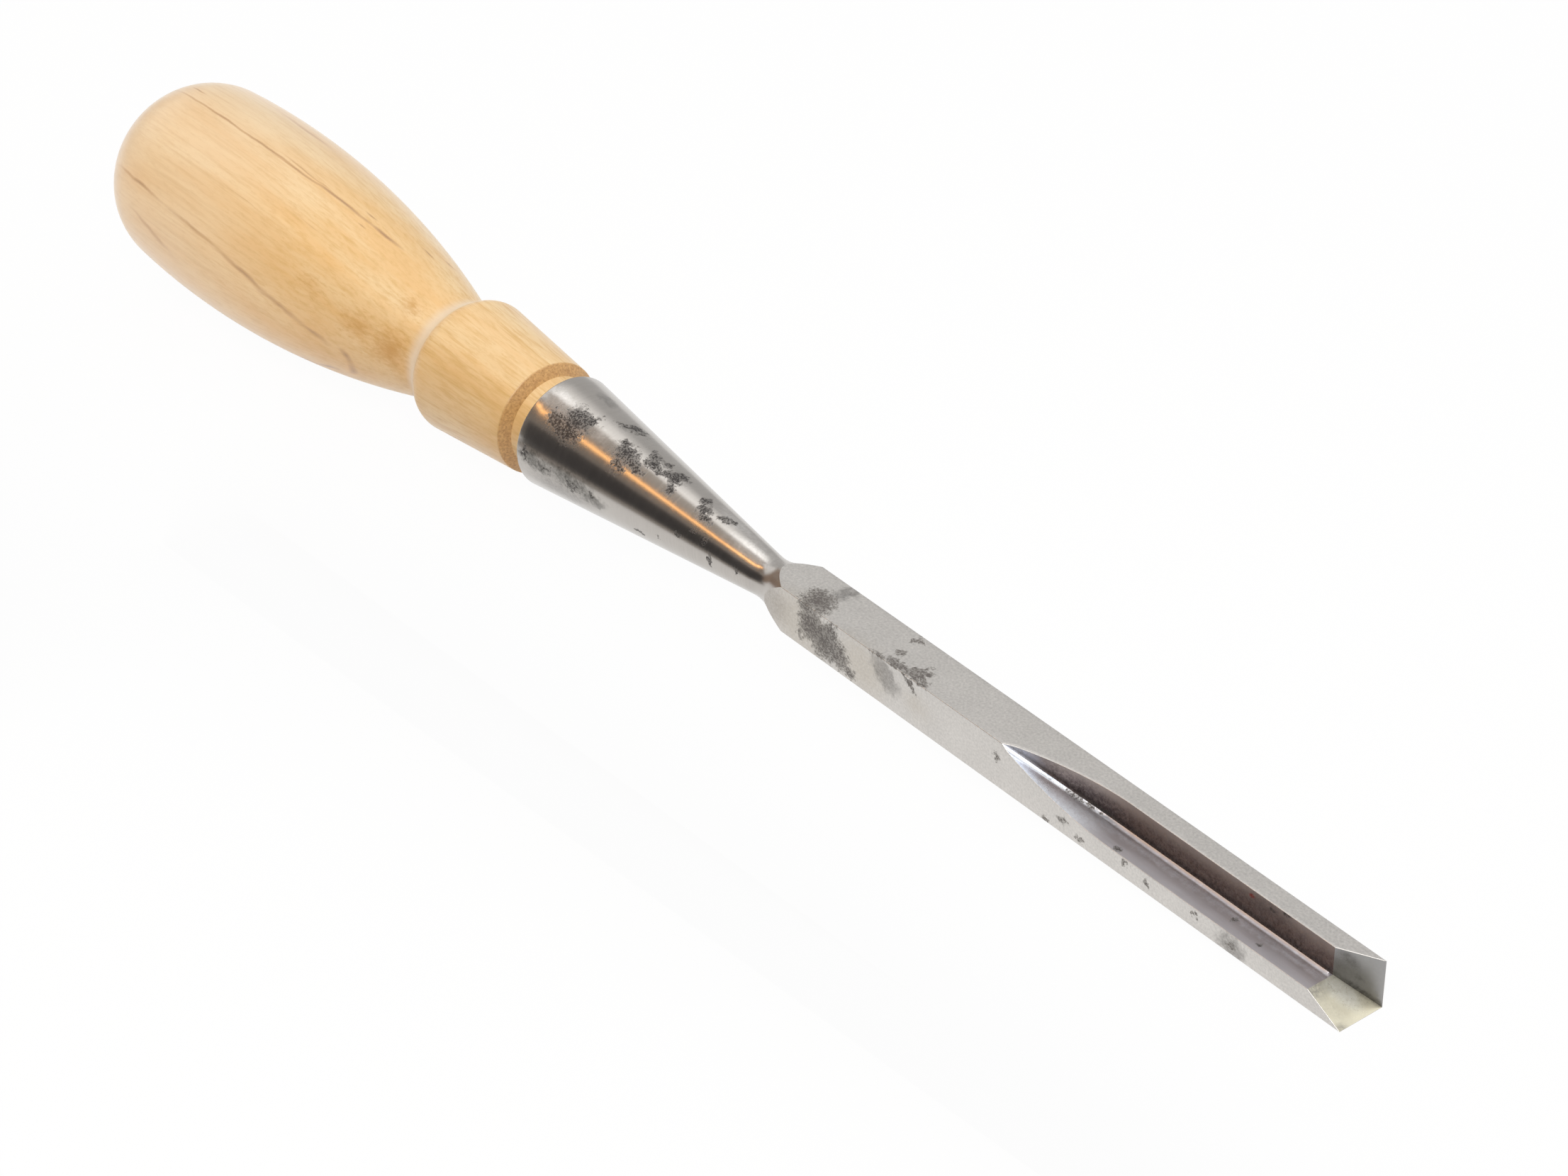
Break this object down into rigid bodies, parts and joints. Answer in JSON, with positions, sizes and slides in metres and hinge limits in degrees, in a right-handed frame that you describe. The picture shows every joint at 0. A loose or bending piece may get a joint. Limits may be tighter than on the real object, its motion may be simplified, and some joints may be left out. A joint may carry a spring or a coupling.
{
  "type": "corner chisel",
  "caption": "Socket corner chisel: square steel blade with a fluted corner, an L-shaped cutting edge and a conical socket, on a turned hardwood handle held by a tapered tenon.",
  "frame": {"origin": "corner of the L-shaped cutting edge, where the two flat outer faces of the blade meet", "axes": "+X along the tool from the cutting edge to the butt of the handle, +Y and +Z along the two legs of the cutting edge, so the outer faces lie in the planes y = 0 and z = 0"},
  "size_m": [0.285, 0.0338, 0.0338],
  "materials": {
    "steel": "ground bar and turned socket, with grey tarnish stains",
    "wood": "turned pale hardwood, clear satin finish"
  },
  "bodies": {
    "blade": {"blade": "steel"},
    "handle": {"handle": "wood"}
  },
  "joints": [
    {"name": "handle_pull", "type": "slide", "parent": "blade", "child": "handle", "axis": [1, 0, 0], "range_m": [0, 0.04]}
  ]
}
